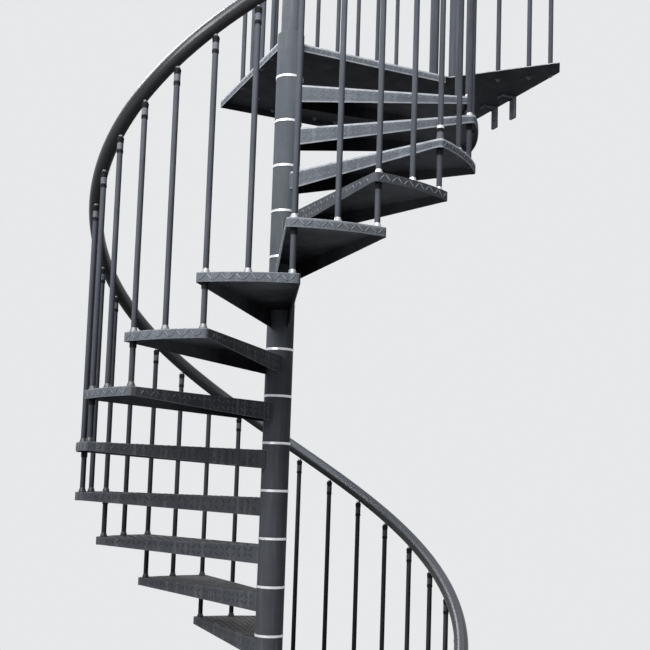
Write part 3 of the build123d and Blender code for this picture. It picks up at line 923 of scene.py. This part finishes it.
def chequer_treads():
    """Bars of all treads, in three pieces by flight."""
    flights = {"lower": range(1, 7), "middle": range(7, 13), "upper": range(13, 18)}
    for name, steps in flights.items():
        piece = Piece()
        for step in steps:
            chequer_tread_top(piece, step)
            chequer_tread_lips(piece, step)
        piece.make(f"chequer_treads_{name}", bar_paint, "graphite_paint")


# Weld beads
bead_radius = 0.0026
bead_step = 0.0035
bead_gap = 0.0008
bead_rise = 0.0006
bead_start = 0.003
bead_short = 0.008
bead_inset = 2
bead_outset = 1


def bead(piece, start, run, length):
    """A rippled weld bead: run gives the point at a distance along it."""
    count = max(int(length / bead_step), 4)
    path = [run(start + length * index / count) for index in range(count + 1)]
    radii = [bead_radius * (1.0 if index % 2 else 0.78) for index in range(count + 1)]
    radii[0] = radii[-1] = bead_radius * 0.3
    piece.tube(path, radii, 6)


def hub_beads():
    """Beads where each tray and its side lips meet the hub sleeve."""
    piece = Piece()
    spread = degrees(asin(edge_overhang / hub_radius))
    for step in range(1, tread_count + 1):
        start = nominal_angle(step)
        top = step * riser
        seat = hub_radius + bead_gap
        first = start - spread + bead_inset
        arc = radians(tread_turn + 2 * spread - 2 * bead_inset) * seat
        bead(piece, 0, lambda s: polar(seat, first + degrees(s / seat), top + bead_rise), arc)
        for angle in (start - spread - bead_outset, start + tread_turn + spread + bead_outset):
            bead(piece, bead_start, lambda s: polar(seat, angle, top - s), hub_lip - bead_short)
    piece.make("hub_weld_beads", paint, "graphite_paint")


# Nuts under the sheets
nut_flats = 0.017
nut_height = 0.008
nut_chamfer = 0.001
bolt_radius = 0.005
bolt_end = 0.003
washer_radius = 0.012
washer_thickness = 0.002


def add_nut(piece, place, turn):
    """A washer and a hexagon nut with its bolt end, hanging under a sheet."""
    piece.turned(
        [(0.0, 0.0), (washer_radius, 0.0), (washer_radius, -washer_thickness), (0.0, -washer_thickness)],
        place,
        16,
    )
    corner = nut_flats / sqrt(3)
    points = []
    for radius, height in (
        (corner, -washer_thickness),
        (corner, -washer_thickness - nut_height + nut_chamfer),
        (corner * 0.88, -washer_thickness - nut_height),
        (bolt_radius, -washer_thickness - nut_height),
        (bolt_radius, -washer_thickness - nut_height - bolt_end),
    ):
        for index in range(6):
            angle = turn + pi * index / 3
            points.append(place + Vector((radius * cos(angle), radius * sin(angle), height)))
    faces = [tuple(range(6))]
    for row in range(4):
        for index in range(6):
            beside = (index + 1) % 6
            faces.append((row * 6 + beside, row * 6 + index, (row + 1) * 6 + index, (row + 1) * 6 + beside))
    faces.append(tuple(reversed(range(24, 30))))
    piece.shape(points, faces)


# The landing's balusters: left side, cut corner, back and slanting side
landing_nut_places = [(-0.022, 0.560 - 0.130 * index) for index in range(4)]
landing_nut_places.append((0.0915, 0.6585))
landing_nut_places += [(0.218 + 0.1165 * index, 0.772) for index in range(8)]
landing_nut_places += [(0.880, -0.017), (0.986, -0.109), (1.092, -0.200), (1.165, -0.262)]


def sheet_nuts():
    """Nuts of the balusters and tie spacers, under the treads and the landing."""
    piece = Piece()
    for x, y in landing_nut_places:
        add_nut(piece, Vector((x, y, landing_level - sheet)), random.uniform(0, pi / 3))
    for step in range(1, tread_count + 1):
        for share in (0.5, 1.0):
            angle = nominal_angle(step) + share * tread_turn
            place = polar(baluster_circle, angle, step * riser - sheet)
            add_nut(piece, place, random.uniform(0, pi / 3))
    piece.make("sheet_nuts", nut_steel, "zinc_fittings", smooth=False)


# Sleeve, black ring and cap over the foot at one tread's front corner
sleeve_fit = 0.0001
sleeve_lift = 0.0002
sleeve_wall = 0.0006
sleeve_taper = 0.003
sleeve_height = 0.035
sleeve_ring_radius = 0.0138
sleeve_ring_height = 0.013
sleeve_cap_radius = 0.0136
sleeve_cap_height = 0.011
sleeve_cap_edge = 0.007
sleeve_cap_crown = 0.0120


def tall_foot():
    """The one foot that stands on a sleeve."""
    base = polar(baluster_circle, nominal_angle(tall_foot_tread), tall_foot_tread * riser)
    inner = baluster_radius + sleeve_fit
    ring_foot = sleeve_height
    ring_top = ring_foot + sleeve_ring_height
    cap_top = ring_top + sleeve_cap_height
    profiles = {
        "corner_sleeve": [
            (foot_radius + sleeve_wall, sleeve_lift),
            (foot_radius - sleeve_taper, ring_foot),
            (inner, ring_foot),
            (inner, sleeve_lift),
        ],
        "corner_sleeve_ring": [
            (sleeve_ring_radius, ring_foot),
            (sleeve_ring_radius, ring_top),
            (inner, ring_top),
            (inner, ring_foot),
        ],
        "corner_sleeve_cap": [
            (sleeve_cap_radius, ring_top),
            (sleeve_cap_radius, ring_top + sleeve_cap_edge),
            (sleeve_cap_crown, cap_top),
            (inner, cap_top),
            (inner, ring_top),
        ],
    }
    looks = (
        (knuckle_grey, "black_fittings"),
        (fitting_black, "black_fittings"),
        (zinc_bright, "zinc_fittings"),
    )
    for (name, profile), (material, slot) in zip(profiles.items(), looks):
        piece = Piece()
        piece.turned(profile, base)
        piece.make(name, material, slot, smooth=False)


# Studio
def make_floor():
    """A round pale floor under the staircase."""
    mesh = bpy.data.meshes.new("studio_floor")
    ring = []
    for index in range(floor_sides):
        angle = 2 * pi * index / floor_sides
        ring.append((floor_radius * cos(angle), floor_radius * sin(angle), floor_level))
    mesh.from_pydata(ring, [], [tuple(range(floor_sides))])
    mesh.materials.append(studio_floor("studio_floor"))
    floor = bpy.data.objects.new("studio_floor", mesh)
    bpy.context.scene.collection.objects.link(floor)


def make_lamp(name, place, target, size, power, tone=(1.0, 1.0, 1.0)):
    """A soft square lamp that faces a target."""
    data = bpy.data.lights.new(name, "AREA")
    data.shape = "SQUARE"
    data.size = size
    data.energy = power
    data.color = tone
    lamp = bpy.data.objects.new(name, data)
    lamp.location = place
    lamp.rotation_mode = "QUATERNION"
    lamp.rotation_quaternion = (target - place).to_track_quat("-Z", "Y")
    lamp.visible_camera = False
    bpy.context.scene.collection.objects.link(lamp)


def make_world():
    """Even light all round, with a pale background for the camera and reflections."""
    world = bpy.data.worlds.new("studio")
    bpy.context.scene.world = world
    world.use_nodes = True
    tree = world.node_tree
    tree.nodes.clear()
    ambient = tree.nodes.new("ShaderNodeBackground")
    ambient.inputs["Color"].default_value = (*ambient_tone, 1.0)
    backdrop = tree.nodes.new("ShaderNodeBackground")
    backdrop.inputs["Color"].default_value = (*background_tone, 1.0)
    blend = tree.nodes.new("ShaderNodeMixShader")
    tree.links.new(seen_directly(tree), blend.inputs[0])
    tree.links.new(ambient.outputs[0], blend.inputs[1])
    tree.links.new(backdrop.outputs[0], blend.inputs[2])
    output = tree.nodes.new("ShaderNodeOutputWorld")
    tree.links.new(blend.outputs[0], output.inputs["Surface"])


make_camera()
main_materials()
for adapters in ("stair_rail_adapters", "landing_rail_adapters"):
    dress_adapters(adapters)
chequer_treads()
chequer_landing()
hub_beads()
sheet_nuts()
tall_foot()

make_floor()
make_world()
make_lamp("key", polar(3.6, -122, 7.0), Vector((0, 0, 2.6)), 2.4, 320)
make_lamp("left", polar(5.0, -148, 4.0), Vector((0, 0, 1.7)), 2.6, 215)
make_lamp("sky", polar(4.2, 108, 6.8), Vector((0, 0, 2.2)), 2.2, 165, (0.92, 0.96, 1.0))
make_lamp("rim", polar(4.7, 148, 6.6), Vector((0, 0, 3.6)), 2.0, 75, (0.96, 0.98, 1.0))

scene = bpy.context.scene
scene.view_settings.view_transform = "Standard"
